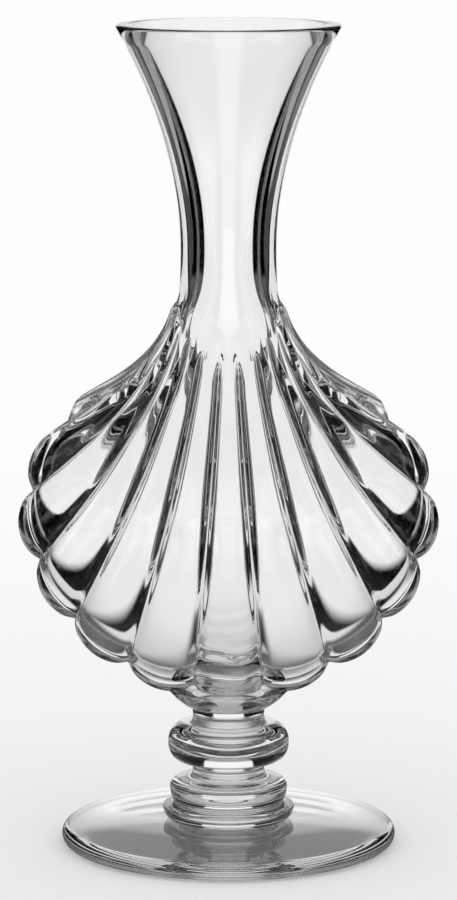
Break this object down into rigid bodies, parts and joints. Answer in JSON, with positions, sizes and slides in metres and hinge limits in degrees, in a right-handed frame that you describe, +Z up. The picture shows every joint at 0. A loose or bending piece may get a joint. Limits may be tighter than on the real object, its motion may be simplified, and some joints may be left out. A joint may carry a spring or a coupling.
{
  "type": "bud vase",
  "caption": "Stemmed clear crystal bud vase: trumpet neck, flattened ribbed scallop-shell body, knopped stem and a round domed foot.",
  "frame": {"origin": "centre of the foot's flat underside, on the vase's axis", "axes": "+Z up along the vase's axis to the mouth, X across the broad face of the shell, Y through its depth with the front at -Y"},
  "size_m": [0.1174, 0.094, 0.23],
  "materials": {
    "shell_crystal": "clear fire-polished crystal",
    "stem_crystal": "clear fire-polished crystal",
    "foot_crystal": "clear crystal, polished underside"
  },
  "bodies": {
    "root": {"shell_body": "shell_crystal", "top_merese": "stem_crystal", "stem_knop": "stem_crystal", "base_knop": "stem_crystal", "base_merese": "stem_crystal", "foot": "foot_crystal"}
  },
  "joints": []
}
